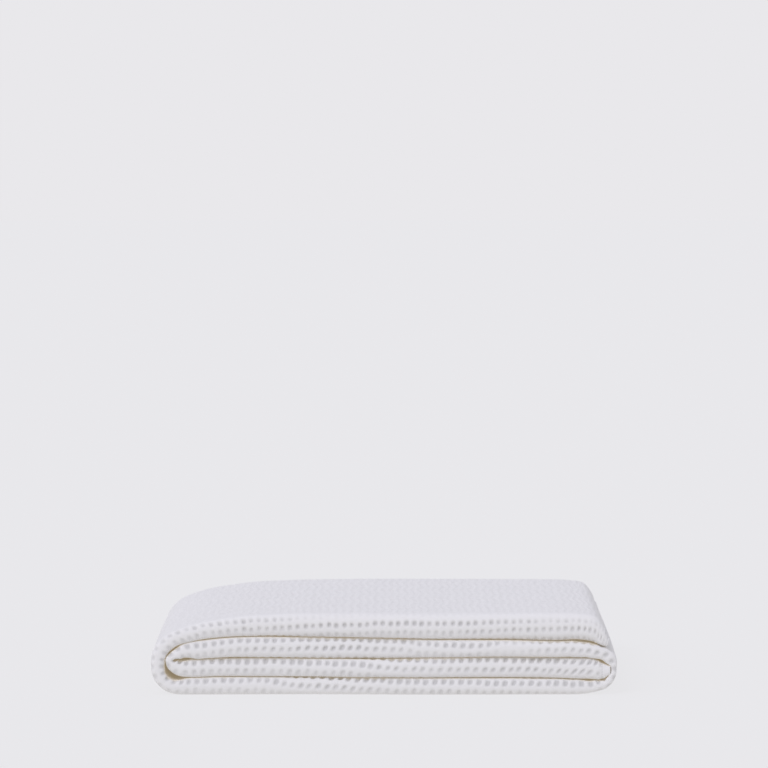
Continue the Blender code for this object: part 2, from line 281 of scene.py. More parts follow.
def with_heading(places, index):
    """A flat run's place heads from the place before it to the one after."""
    place = places[index]
    if place.heading is not None:
        return place
    before = places[index - 1]
    after = places[index + 1]
    heading = math.degrees(math.atan2(after.z - before.z, after.x - before.x))
    return place._replace(heading=heading)


def turn_between(start, end):
    """The turn from one heading to the next, in degrees, between -180 and 180."""
    return (end.heading - start.heading + 180.0) % 360.0 - 180.0


def handle(place, chord, turn):
    """A tangent that makes a quarter turn close to a quarter of an ellipse."""
    angle = math.radians(place.heading if place.course is None else place.course)
    direction = np.array([math.cos(angle), math.sin(angle)])
    return direction * direction.dot(chord) * (1.0 + TANGENT_STRETCH * abs(turn) / 90.0)


def past_end(row, sign):
    """The strip's very end, a hem's rounding past its last place."""
    x, z, half, heading = row
    reach = sign * HEM_ROUNDING
    angle = math.radians(heading)
    return [x + reach * math.cos(angle), z + reach * math.sin(angle), half, heading]


def make_route():
    """Finely cut columns of the route: distance, x, z, half thickness, heading."""
    places = route_places()
    t = np.arange(ROUTE_SAMPLES)[:, None] / ROUTE_SAMPLES
    ease = 3 * t ** 2 - 2 * t ** 3
    leave = t ** 3 - 2 * t ** 2 + t
    arrive = t ** 3 - t ** 2
    rows = []
    heading = places[0].heading
    for start, end in zip(places, places[1:]):
        turn = turn_between(start, end)
        origin = np.array([start.x, start.z])
        chord = np.array([end.x, end.z]) - origin
        tangents = leave * handle(start, chord, turn) + arrive * handle(end, chord, turn)
        middle = origin + ease * chord + tangents
        half = start.half + ease * (end.half - start.half)
        half = half + np.hypot(*chord) * (leave * start.growth + arrive * end.growth)
        rows.append(np.hstack([middle, half, heading + turn * t]))
        heading += turn
    last = places[-1]
    rows.append(np.array([[last.x, last.z, last.half, heading]]))
    table = np.vstack([past_end(rows[0][0], -1), *rows, past_end(rows[-1][0], 1)])
    steps = np.hypot(*np.diff(table[:, :2], axis=0).T)
    distance = np.concatenate([[0.0], np.cumsum(steps)])
    return distance, table


ROUTE_DISTANCE, ROUTE = make_route()
LENGTH = ROUTE_DISTANCE[-1]


def on_route(distance, column):
    """One of the route's columns at these distances."""
    return np.interp(distance, ROUTE_DISTANCE, ROUTE[:, column])


def leg_ends():
    """Where each leg of the roll begins and ends, by its turning points in x."""
    x = ROUTE[:, 0]
    middle = len(x) // 2
    first = int(np.argmin(x[:middle]))
    right = first + int(np.argmax(x[first:first + middle]))
    left = right + int(np.argmin(x[right:]))
    return [0, first, right, left, len(x) - 1]


LEG_ENDS = leg_ends()


def distance_at(leg, x):
    """How far along the strip a leg passes this x."""
    piece = slice(LEG_ENDS[leg], LEG_ENDS[leg + 1] + 1)
    xs = ROUTE[piece, 0]
    distances = ROUTE_DISTANCE[piece]
    runs_left = leg in (0, 2)
    if runs_left:
        xs = xs[::-1]
        distances = distances[::-1]
    return float(np.interp(x, xs, distances))


# ---- the weave along the strip --------------------------------------------------------

WEAVE_DISTANCE = np.array([distance_at(row.leg, row.x) for row in WEAVE])


def weave_value(distance, name):
    """A column of the weave's table, eased from row to row."""
    values = np.array([getattr(row, name) for row in WEAVE])
    index = np.clip(np.searchsorted(WEAVE_DISTANCE, distance) - 1, 0, len(WEAVE) - 2)
    span = WEAVE_DISTANCE[index + 1] - WEAVE_DISTANCE[index]
    t = np.clip((distance - WEAVE_DISTANCE[index]) / span, 0.0, 1.0)
    ease = 3 * t ** 2 - 2 * t ** 3
    return values[index] + ease * (values[index + 1] - values[index])


def make_columns():
    """How many cells lie before each distance along the strip."""
    distance = np.linspace(0.0, LENGTH, int(LENGTH) + 1)
    density = 1.0 / weave_value(distance, "pitch")
    steps = (density[1:] + density[:-1]) / 2 * np.diff(distance)
    return distance, np.concatenate([[0.0], np.cumsum(steps)])


COLUMN_DISTANCE, COLUMN_COUNT = make_columns()
COLUMNS = COLUMN_COUNT[-1]


def column_at(leg, x):
    """The cell column where a leg passes this x."""
    return float(np.interp(distance_at(leg, x), COLUMN_DISTANCE, COLUMN_COUNT))


LAST_FOLD = column_at(1, LAST_FOLD_X)


# ---- the strip's section ------------------------------------------------------------

def unit_bend(reach):
    """A quarter of a bend of half height 1: its length, and columns by length.

    The columns are y from the tip, rise from the middle, and the outward normal.
    """
    angle = np.linspace(0.0, math.pi / 2, UNIT_SAMPLES)
    power = 2.0 / BEND_FULLNESS
    y = reach * (1.0 - np.abs(np.cos(angle)) ** power)
    rise = np.abs(np.sin(angle)) ** power
    y[-1] = reach
    length = np.concatenate([[0.0], np.cumsum(np.hypot(np.diff(y), np.diff(rise)))])
    along = np.stack([np.gradient(y, length), np.gradient(rise, length)])
    along /= np.hypot(*along)
    return length, np.stack([y, rise, -along[1], along[0]])


FRONT_BEND = unit_bend(BEND_REACH)
BACK_BEND = unit_bend(1.0)


def on_bend(bend, q, half):
    """Places on a bend of this half height, q from its tip, positive downwards."""
    length, columns = bend
    share = np.abs(q) / half
    y, rise, normal_y, normal_rise = [np.interp(share, length, c) for c in columns]
    up = -np.sign(q)
    return y * half, up * rise * half, normal_y, up * normal_rise


def layers(distance):
    """The cloth's thickness and gap where the strip has this half thickness."""
    half = on_route(distance, 2)
    cloth = np.minimum(CLOTH_THICKNESS, (2 * half - 3 * LAYER_GAP) / 4)
    return half, cloth, (2 * half - 4 * cloth) / 3


def wave(place, length, phase):
    """A slow swell along one direction, between -1 and 1."""
    return np.sin(math.tau * (place / length + phase))


def knots(distance):
    """The section's measures at these distances along the strip."""
    half, cloth, gap = layers(distance)
    front = -STRIP_DEPTH / 2 + FRONT_WANDER * wave(distance, FRONT_WAVE, 0)
    back = STRIP_DEPTH / 2 + BACK_WANDER * wave(distance, BACK_WAVE, 0)
    outer = half - cloth / 2
    pair = (cloth + gap) / 2
    inner_tip = front + 1.5 * cloth + gap
    return {
        "outer": outer,
        "pair": pair,
        "front": front + cloth / 2,
        "back": back - cloth / 2,
        "inner_tip": inner_tip,
        "outer_arc": FRONT_BEND[0][-1] * outer,
        "back_arc": BACK_BEND[0][-1] * pair,
        "inner_arc": FRONT_BEND[0][-1] * pair,
        "front_end": front + cloth / 2 + BEND_REACH * outer,
        "back_end": back - cloth / 2 - pair,
        "inner_end": inner_tip + BEND_REACH * pair,
        "top_hem": back - HEM_SETBACK_TOP,
        "inner_hem": back - HEM_SETBACK_INNER,
    }


def widths():
    """The cloth's width from the front fold to each knot, on a typical stretch."""
    k = knots(np.array([distance_at(2, 0.0)]))
    top = k["outer_arc"] + k["top_hem"] - k["front_end"]
    back = k["outer_arc"] + k["back_end"] - k["front_end"]
    inner = back + 2 * k["back_arc"] + k["back_end"] - k["inner_end"]
    hem = inner + 2 * k["inner_arc"] + k["inner_hem"] - k["inner_end"]
    return [float(value[0]) for value in (top, back, inner, hem)]


TOP_WIDTH, BACK_WIDTH, INNER_WIDTH, HEM_WIDTH = widths()
TOP_HEM_ROW = -TOP_WIDTH / ROW_PITCH
BACK_ROW = BACK_WIDTH / ROW_PITCH
INNER_HEM_ROW = HEM_WIDTH / ROW_PITCH


def flat(q, start, end, y_start, y_end):
    """A straight layer, whose cloth is eased to fit between its two ends."""
    return y_start + (q - start) / (end - start) * (y_end - y_start)


def section(q, distance):
    """The cloth's middle in the strip's section: y, outward, and its normal.

    The normal points out of the face that is outermost on the top layer.
    """
    k = {name: np.broadcast_to(value, q.shape) for name, value in knots(distance).items()}
    arc = k["outer_arc"]
    back_done = BACK_WIDTH + 2 * k["back_arc"]
    inner_done = INNER_WIDTH + 2 * k["inner_arc"]
    zero = np.zeros_like(q)
    up = zero + 1.0

    nose = on_bend(FRONT_BEND, np.clip(q, -arc, arc), k["outer"])
    turn_q = k["back_arc"] - np.clip(q - BACK_WIDTH, zero, 2 * k["back_arc"])
    turn = on_bend(BACK_BEND, turn_q, k["pair"])
    hollow_q = k["inner_arc"] - np.clip(q - INNER_WIDTH, zero, 2 * k["inner_arc"])
    hollow = on_bend(FRONT_BEND, hollow_q, k["pair"])

    # From the top layer's hem on: where a piece ends, then y, outward and the normal.
    pieces = [
        (q < -arc, (flat(-q, arc, TOP_WIDTH, k["front_end"], k["top_hem"]),
                    k["outer"], zero, up)),
        (q <= arc, (k["front"] + nose[0], nose[1], nose[2], nose[3])),
        (q < BACK_WIDTH, (flat(q, arc, BACK_WIDTH, k["front_end"], k["back_end"]),
                          -k["outer"], zero, -up)),
        (q <= back_done, (k["back"] - turn[0], turn[1] - 2 * k["pair"],
                          -turn[2], turn[3])),
        (q < INNER_WIDTH, (flat(q, back_done, INNER_WIDTH, k["back_end"], k["inner_end"]),
                           -k["pair"], zero, up)),
        (q <= inner_done, (k["inner_tip"] + hollow[0], hollow[1],
                           -hollow[2], -hollow[3])),
        (q > inner_done, (flat(q, inner_done, HEM_WIDTH, k["inner_end"], k["inner_hem"]),
                          k["pair"], zero, -up)),
    ]
    conditions = [piece[0] for piece in pieces]
    return [np.select(conditions, [piece[1][i] for piece in pieces]) for i in range(4)]


# ---- the cloth's surface -----------------------------------------------------------

def smooth(value, low, high):
    """0 below low, 1 above high, eased between them."""
    t = np.clip((value - low) / (high - low), 0.0, 1.0)
    return t * t * (3 - 2 * t)


def uneven(x, y, z):
    """Small swells of the whole pile. The underside, at z = 0, stays flat."""
    rise = z / PILE_HEIGHT
    across = wave(y, SWELL_Y, SWELL_PHASE_Y)
    along = wave(x, SWELL_X, SWELL_PHASE_X)
    z = z + SWELL_TOP * rise * across * (SWELL_RIDGE_SHARE + (1 - SWELL_RIDGE_SHARE) * along)
    x = x + x / PILE_HALF_WIDTH * SWELL_SIDE * wave(y, SWELL_Y, SWELL_LEAN * rise)
    behind = y / STRIP_DEPTH + 0.5
    x = x * (1.0 + BACK_SPREAD * behind) + BACK_LEAN * behind
    return x, y, z


def to_cloth(u, v):
    """Distances along the strip and across it, in millimetres, of cell places."""
    distance = np.interp(u, COLUMN_COUNT, COLUMN_DISTANCE)
    fade = 1.0 - np.abs(v) / np.where(v < 0, -TOP_HEM_ROW, INNER_HEM_ROW)
    q = v * ROW_PITCH - weave_value(distance, "drift") * np.clip(fade, 0.0, 1.0)
    near = q * np.exp(-0.5 * (q / SLANT_REACH) ** 2)
    edge = smooth(np.minimum(distance, LENGTH - distance), 0.0, END_EASE)
    slanted = distance - weave_value(distance, "slant") * near * edge
    stray = wave(distance, WANDER_WAVES[1], 0.0) + wave(q, WANDER_WAVES[0], 0.0)
    stray = WANDER * stray * smooth(np.abs(q), *WANDER_ROWS) * edge
    return np.clip(slanted + stray, 0.0, LENGTH), q


def scatter(row, column, seed):
    """A number from -1 to 1 for each cell, the same in every run."""
    steps = SCATTER_STEPS
    mixed = np.sin(row * steps[0] + column * steps[1] + seed * steps[2]) * SCATTER_SCALE
    return 2.0 * (mixed - np.floor(mixed)) - 1.0


def relief(u, v, side, q, distance, rising):
    """How deep the pits are, from 0 on the ridges to the pit's share of the cloth.

    rising is 1 at the top of the strip, where it lies flat, and -1 underneath.
    """
    offset = 0.5 if side > 0 else 0.0
    row = np.floor(v + offset + 0.5)
    column = np.floor(u + offset + 0.5)
    across = np.abs(v + offset - row - PIT_SHIFT * scatter(row, column, 1))
    along = np.abs(u + offset - column - PIT_SHIFT * scatter(row, column, 2))
    reach = (across ** PIT_SQUARENESS + along ** PIT_SQUARENESS) ** (1 / PIT_SQUARENESS)
    rim = PIT_REACH * (1.0 + PIT_SPREAD * scatter(row, column, 3))
    pit = 1.0 - smooth(reach / rim, PIT_FLOOR, 1.0)
    vary = (1.0 + PIT_VARIETY * scatter(row, column, 4)) * (1.0 + UPPER_PITS * rising)
    top = smooth((-q - weave_value(distance, "press")) / PRESS_WIDTH, 0.0, 1.0)
    pressed = TOP_PRESSED * top + EDGE_PRESSED * top * (1.0 - smooth(-q, *TOP_EASED))
    deep = PIT_DEPTH * pit * vary * (1.0 - pressed) * weave_value(distance, "depth")
    return np.minimum(deep, PIT_LIMIT)


def folded(u, q, height):
    """1 where the cloth turns in between two bands of the roll, and 0 elsewhere: the mask of
    the painted fold shade and glow.

    height is the cloth's height over the strip's middle, as a share of the strip's.
    """
    outside = (q < 0) & (u > LAST_FOLD)
    turned = smooth(np.abs(height), *FOLD_SHADE_HEIGHT)
    near = 1.0 - smooth(np.abs(q), FOLD_SHADE_FADE, 2 * FOLD_SHADE_FADE)
    return np.where(outside, 0.0, turned * near)


def hem_measures(q, distance):
    """The rounding at the cloth's edge, the share of its cells, and the way in.

    The first two go from 0 to 1. The way in from the outer end counts what is
    turned under there.
    """
    rest = np.minimum(distance, np.minimum(q + TOP_WIDTH, HEM_WIDTH - q))
    edge = np.maximum(np.minimum(rest, LENGTH - distance), 0.0)
    hem = np.maximum(np.minimum(rest, LENGTH - distance + END_TUCKED), 0.0)
    rounded = np.clip(1.0 - edge / EDGE_ROUND, 0.0, 1.0)
    return rounded, smooth(hem, HEM_FLAT, HEM_FLAT + HEM_STEP), hem


def cloth_points(u, v, side, share=1.0):
    """Points of the cloth's face at cell places, in metres, and their weave.

    side is 1 for the face that is outermost on the top layer, and -1 for the
    other. share thins the cloth to its ground, without cells, when below 1.
    """
    u, v = np.broadcast_arrays(u, v)
    distance, q = to_cloth(u, v)
    rounded, woven, hem = hem_measures(q, distance)
    y, w, normal_y, normal_w = section(q, distance)
    half, cloth, _ = layers(distance)
    height = w / (half - cloth / 2)
    heading = np.radians(on_route(distance, 3))
    pressed = HEM_PRESSED + (1.0 - HEM_PRESSED) * woven
    lift = cloth / 2 * pressed * np.sqrt(1.0 - rounded ** 2) * share
    pit = np.zeros_like(lift)
    if share == 1.0:
        pit = relief(u, v, side, q, distance, height * np.cos(heading)) * woven
        lift = lift + NAP * woven - cloth * pit
    y = y + side * lift * normal_y
    w = w + side * lift * normal_w
    x = on_route(distance, 0) - np.sin(heading) * w
    z = on_route(distance, 1) + np.cos(heading) * w
    x, y, z = uneven(x, y, np.maximum(z, 0.0))
    # masks of the painted fold shade and glow, of the painted pit shade, and the hem's way
    # in
    shade = np.stack([folded(u, q, height), pit / PIT_LIMIT, hem], axis=-1)
    cell = np.stack([u, v, distance], axis=-1)
    return np.stack([x, y, z], axis=-1) * MM, cell, shade


def pile_middle():
    """What the solid was moved by, to stand its middle on the origin."""
    u = np.linspace(0.0, COLUMNS, MIDDLE_SAMPLES[0])[:, None]
    v = np.linspace(TOP_HEM_ROW, BACK_ROW + MIDDLE_ROWS, MIDDLE_SAMPLES[1])[None, :]
    points = cloth_points(u, v, 1, share=NO_CELLS)[0].reshape(-1, 3)
    return (points.min(0) + points.max(0)) / 2 * np.array([1.0, 1.0, 0.0])


PILE_MIDDLE = pile_middle()


# ---- making the pieces -----------------------------------------------------------------

def cuts(start, end, per_cell, edges=()):
    """Cell places from start to end, on the weave, and finer in from hem edges."""
    first = math.ceil(start * per_cell - ON_CUT)
    last = math.floor(end * per_cell + ON_CUT)
    values = set(i / per_cell for i in range(first, last + 1))
    values |= {start, end}
    for edge, inwards, pitch in edges:
        zone = EDGE_CUTS[-1] / pitch
        values = {x for x in values if abs(x - edge) > zone}
        values |= {edge + inwards * cut / pitch for cut in EDGE_CUTS}
    merged = []
    for value in sorted(values):
        if not merged or value - merged[-1] > ONE_CUT:
            merged.append(value)
    return np.array(merged)


def grid_quads(index, flip):
    """Quads of a grid of vertex numbers."""
    corners = [index[:-1, :-1], index[1:, :-1], index[1:, 1:], index[:-1, 1:]]
    if flip:
        corners.reverse()
    return np.stack(corners, axis=-1).reshape(-1, 4)


def add_mesh(name, points, faces, cell, shade, material):
    """An object from numpy arrays, with the weave's coordinates on its points."""
    mesh = bpy.data.meshes.new(name)
    mesh.vertices.add(len(points))
    mesh.vertices.foreach_set("co", points.astype(np.float32).ravel())
    mesh.loops.add(faces.size)
    mesh.loops.foreach_set("vertex_index", faces.astype(np.int32).ravel())
    mesh.polygons.add(len(faces))
    starts = np.arange(0, faces.size, 4, dtype=np.int32)
    mesh.polygons.foreach_set("loop_start", starts)
    mesh.polygons.foreach_set("loop_total", np.full(len(faces), 4, dtype=np.int32))
    for title, values in (("cell", cell), ("shade", shade)):
        attribute = mesh.attributes.new(title, "FLOAT_VECTOR", "POINT")
        attribute.data.foreach_set("vector", values.astype(np.float32).ravel())
    mesh.update(calc_edges=True)
    mesh.validate()
    mesh.shade_smooth()
    mesh.materials.append(material)
    obj = bpy.data.objects.new(name, mesh)
    bpy.context.scene.collection.objects.link(obj)
    return obj


def ride_root(obj):
    """Carry the piece with the part."""
    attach(obj, "root")
    return obj


def cloth_piece(name, patches, material):
    """One object of several patches (u places, v places, side) of the cloth."""
    columns = [[], [], []]
    faces = []
    count = 0
    for u, v, side in patches:
        for column, values in zip(columns, cloth_points(u[:, None], v[None, :], side)):
            column.append(values.reshape(-1, 3))
        index = count + np.arange(len(u) * len(v)).reshape(len(u), len(v))
        faces.append(grid_quads(index, side < 0))
        count += len(u) * len(v)
    points, cell, shade = [np.vstack(column) for column in columns]
    obj = add_mesh(name, points - PILE_MIDDLE, np.vstack(faces), cell, shade, material)
    return ride_root(obj)


# ---- the pieces ----------------------------------------------------------------------

def hem_edges(*names):
    """The named edges of the cloth: their place, the way inwards, and a cell's size."""
    table = {
        "start": (0.0, 1, WEAVE[0].pitch),
        "end": (COLUMNS, -1, WEAVE[-1].pitch),
        "top": (TOP_HEM_ROW, 1, ROW_PITCH),
        "inner": (INNER_HEM_ROW, -1, ROW_PITCH),
    }
    return [table[name] for name in names]


def joined_cuts(*parts):
    """One run of cell places from several that meet."""
    return np.unique(np.round(np.concatenate(parts), CUT_DIGITS))


LEFT_WRAP = column_at(3, LEFT_WRAP_X) - LEFT_WRAP_LEAD
RIGHT_WRAP = (column_at(1, RIGHT_WRAP_X[0]), column_at(2, RIGHT_WRAP_X[1]))
WHOLE = cuts(0.0, COLUMNS, CELL_CUTS, hem_edges("start", "end"))
TOP_COLUMNS = WHOLE[WHOLE >= math.floor(LEFT_WRAP)]
SIDE_COLUMNS = cuts(math.floor(RIGHT_WRAP[0]), math.ceil(RIGHT_WRAP[1]), CELL_CUTS)
UNDER_COLUMNS = cuts(SIDE_COLUMNS[-1], TOP_COLUMNS[0], PLAIN_CUTS)
INNER_COLUMNS = WHOLE[WHOLE <= SIDE_COLUMNS[0]]
START_COLUMNS = cuts(0.0, HEM_ROWS, PLAIN_CUTS, hem_edges("start"))
END_COLUMNS = cuts(COLUMNS - 2 * HEM_ROWS, COLUMNS, PLAIN_CUTS, hem_edges("end"))

BACK_TURN_END = (BACK_WIDTH + BACK_TURN_LENGTH) / ROW_PITCH
INNER_TURN = (INNER_WIDTH / ROW_PITCH, (INNER_WIDTH + INNER_TURN_LENGTH) / ROW_PITCH)
LAYER_ROWS = cuts(TOP_HEM_ROW, -FRONT_ROWS, CELL_CUTS, hem_edges("top"))
UNDER_ROWS = cuts(TOP_HEM_ROW, -FRONT_ROWS, PLAIN_CUTS, hem_edges("top"))
NOSE_COLUMNS = cuts(0.0, COLUMNS, CLOSE_CUTS, hem_edges("start", "end"))
NOSE_ROWS = cuts(-FRONT_ROWS, FRONT_ROWS, CLOSE_CUTS)
TOP_HEM_ROWS = cuts(TOP_HEM_ROW, TOP_HEM_ROW + HEM_ROWS, CELL_CUTS, hem_edges("top"))
INNER_HEM_ROWS = cuts(INNER_HEM_ROW - HEM_ROWS, INNER_HEM_ROW, CELL_CUTS,
                      hem_edges("inner"))
BACK_ROWS = joined_cuts(
    cuts(BACK_ROW - TURN_ROWS, BACK_ROW, CELL_CUTS),
    cuts(BACK_ROW, BACK_TURN_END, BEND_CUTS),
    cuts(BACK_TURN_END, BACK_TURN_END + TURN_ROWS, CELL_CUTS),
)
BEHIND_ROWS = joined_cuts(
    cuts(FRONT_ROWS, BACK_ROW, PLAIN_CUTS),
    cuts(BACK_ROW, BACK_TURN_END, BEND_CUTS),
    cuts(BACK_TURN_END, INNER_TURN[0], PLAIN_CUTS),
    cuts(INNER_TURN[0], INNER_TURN[1], BEND_CUTS),
    cuts(INNER_TURN[1], INNER_HEM_ROW, PLAIN_CUTS, hem_edges("inner")),
)
ALL_ROWS = joined_cuts(
    UNDER_ROWS, cuts(-FRONT_ROWS, FRONT_ROWS, PLAIN_CUTS), BEHIND_ROWS)


def ground_columns():
    """Cell places along the strip, closer together where it turns."""
    places = [0.0]
    heading = np.interp(COLUMN_DISTANCE, ROUTE_DISTANCE, ROUTE[:, 3])
    while places[-1] < COLUMNS - 1.0 / GROUND_TURN:
        at = places[-1]
        behind, ahead = np.interp([at + x for x in GROUND_LOOK], COLUMN_COUNT, heading)
        turning = abs(ahead - behind) > GROUND_TURNING
        places.append(at + 1.0 / (GROUND_TURN if turning else GROUND_FLAT))
    inner = [x for x in places if GROUND_CLEAR < x < COLUMNS - GROUND_CLEAR]
    start = [cut / WEAVE[0].pitch for cut in EDGE_CUTS]
    end = [COLUMNS - cut / WEAVE[-1].pitch for cut in reversed(EDGE_CUTS)]
    return np.array(start + inner + end)


def ground_rows():
    """Cell places across the strip, closer together round its bends."""
    return joined_cuts(
        cuts(TOP_HEM_ROW, -FRONT_ROWS, GROUND_FLAT, hem_edges("top")),
        cuts(-FRONT_ROWS, FRONT_ROWS, GROUND_FRONT),
        cuts(FRONT_ROWS, BACK_ROW, GROUND_FLAT),
        cuts(BACK_ROW, BACK_TURN_END, GROUND_BEND),
        cuts(BACK_TURN_END, INNER_TURN[0], GROUND_FLAT),
        cuts(INNER_TURN[0], INNER_TURN[1], GROUND_BEND),
        cuts(INNER_TURN[1], INNER_HEM_ROW, GROUND_FLAT, hem_edges("inner")),
    )


def ground_piece(material):
    """The whole cloth as one thin closed piece, the web that joins the cells."""
    u = ground_columns()
    v = ground_rows()
    count = len(u) * len(v)
    index = np.arange(count).reshape(len(u), len(v))
    rim = np.zeros((len(u), len(v)), dtype=bool)
    rim[[0, -1], :] = True
    rim[:, [0, -1]] = True
    inner = np.where(rim, index, 0)
    inner[~rim] = count + np.arange((~rim).sum())
    faces = np.vstack([grid_quads(index, False), grid_quads(inner, True)])
    upper = cloth_points(u[:, None], v[None, :], 1, GROUND_THICKNESS)
    lower = cloth_points(u[:, None], v[None, :], -1, GROUND_THICKNESS)
    points, cell, shade = [
        np.vstack([a.reshape(-1, 3), b[~rim]]) for a, b in zip(upper, lower)
    ]
    obj = add_mesh("cloth_ground", points - PILE_MIDDLE, faces, cell, shade, material)
    return ride_root(obj)


def build_cloth(material):
    """Every piece of the cloth."""
    ground = ground_piece(material)
    skins = [
        cloth_piece("cloth_top", [(TOP_COLUMNS, LAYER_ROWS, 1)], material),
        cloth_piece("cloth_front", [(NOSE_COLUMNS, NOSE_ROWS, 1)], material),
        cloth_piece("cloth_side", [(SIDE_COLUMNS, LAYER_ROWS, 1)], material),
        cloth_piece("cloth_under", [(UNDER_COLUMNS, UNDER_ROWS, 1)], material),
        cloth_piece("cloth_back_fold", [(WHOLE, BACK_ROWS, 1)], material),
        cloth_piece("hem_outer", [
            (WHOLE, TOP_HEM_ROWS, -1),
            (INNER_COLUMNS, TOP_HEM_ROWS, 1),
        ], material),
        cloth_piece("hem_inner", [
            (WHOLE, INNER_HEM_ROWS, 1),
            (WHOLE, INNER_HEM_ROWS, -1),
        ], material),
        cloth_piece("hem_ends", [
            (END_COLUMNS, BEHIND_ROWS, 1),
            (END_COLUMNS, ALL_ROWS, -1),
            (START_COLUMNS, BEHIND_ROWS, 1),
            (START_COLUMNS, ALL_ROWS, -1),
        ], material),
    ]
    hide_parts("blanket")


# ---- the material --------------------------------------------------------------------

COTTON = (0.815, 0.80, 0.78, 1.0)
# painted warm shade in the folds between the bands
COTTON_PAINTED_FOLD_SHADE = (0.80, 0.77, 0.71, 1.0)
PAINTED_GLOW_IN_FOLDS = (0.086, 0.072, 0.051, 1.0)        # a painted glow, for the light that comes through the cloth
PIT_SHADE = 0.25           # how much painted shade darkens the bottom of a pit
BLACK = (0.0, 0.0, 0.0, 1.0)
ROUGHNESS = (0.85, 1.0)
SPECULAR = 0.15
SHEEN = 0.08
SHEEN_ROUGHNESS = 0.6
YARNS_PER_CELL = 12
YARN_HEIGHT = 0.12 * MM
YARN_SHARE = 0.25          # of either direction's yarns, beside the loose fibres
BUMP_STRENGTH = 0.7
FUZZ_SCALE = 9.0           # of the loose fibres, in lumps a cell
FUZZ_DETAIL = 3.0
FUZZ_RANGE = (0.2, 0.8)    # of the noise, from the lowest lumps to the highest
MOTTLE = 0.04              # how much darker the lowest are
STITCH_LINE = (8.6, 9.6)   # a hem's stitches lie this far in from its edge, in mm
STITCH_BLUR = 0.3          # and their line is soft over this much
STITCHES_PER_CELL = 3.0
STITCH_GAP = (0.25, 0.4)   # a stitch sets in between these, as a share of its pitch
STITCH_SHADE = 0.12


class Graph:
    """Short calls that add nodes to a material and link them."""

    def __init__(self, material):
        self.nodes = material.node_tree.nodes
        self.links = material.node_tree.links

    def add(self, kind, **inputs):
        """A node with these inputs, named with _ for a space."""
        node = self.nodes.new(kind)
        for name, value in inputs.items():
            self.feed(node.inputs[name.replace("_", " ")], value)
        return node

    def feed(self, socket, value):
        """Link a socket to another node's output, or set its value."""
        if isinstance(value, bpy.types.NodeSocket):
            self.links.new(value, socket)
        else:
            socket.default_value = value

    def math(self, operation, first, second=0.0):
        """One operation on a value, or on two."""
        node = self.nodes.new("ShaderNodeMath")
        node.operation = operation
        self.feed(node.inputs[0], first)
        self.feed(node.inputs[1], second)
        return node.outputs[0]

    def parts(self, attribute):
        """The three numbers that the mesh carries under this name."""
        source = self.nodes.new("ShaderNodeAttribute")
        source.attribute_name = attribute
        split = self.add("ShaderNodeSeparateXYZ", Vector=source.outputs["Vector"])
        return list(split.outputs)

    def ramp(self, value, low, high, start=0.0, end=1.0):
        """From start to end, eased, while the value goes from low to high."""
        node = self.nodes.new("ShaderNodeMapRange")
        node.interpolation_type = "SMOOTHSTEP"
        for socket, number in zip(node.inputs[0:5], (value, low, high, start, end)):
            self.feed(socket, number)
        return node.outputs[0]

    def mix(self, share, first, second):
        """Two colours, with this share of the second."""
        node = self.nodes.new("ShaderNodeMix")
        node.data_type = "RGBA"
        self.feed(node.inputs["Factor"], share)
        self.feed(node.inputs[6], first)
        self.feed(node.inputs[7], second)
        return node.outputs[2]


def yarn_height(graph, u, v, fuzz):
    """Yarns stepping down into each cell, square within square, and their fibres."""
    along = graph.math("ABSOLUTE", graph.math("SUBTRACT", graph.math("FRACT", u), 0.5))
    across = graph.math("ABSOLUTE", graph.math("SUBTRACT", graph.math("FRACT", v), 0.5))
    ring = graph.math("MAXIMUM", along, across)
    side = graph.math("MINIMUM", along, across)
    rings = graph.math("SINE", graph.math("MULTIPLY", ring, math.tau * YARNS_PER_CELL))
    twist = graph.math("SINE", graph.math("MULTIPLY", side, math.tau * YARNS_PER_CELL))
    yarns = graph.math("MULTIPLY", graph.math("ADD", rings, twist), YARN_SHARE)
    return graph.math("ADD", yarns, fuzz)


def stitch_mask(graph, u, v, edge):
    """Dashes along each hem, where its stitches draw the cloth in."""
    low, high = STITCH_LINE
    rise = graph.ramp(edge, low - STITCH_BLUR, low)
    fall = graph.ramp(edge, high, high + STITCH_BLUR, 1.0, 0.0)
    inside = graph.math("MULTIPLY", rise, fall)
    place = graph.math("MULTIPLY", graph.math("ADD", u, v), STITCHES_PER_CELL)
    dash = graph.ramp(graph.math("FRACT", place), *STITCH_GAP)
    return graph.math("MULTIPLY", inside, dash)


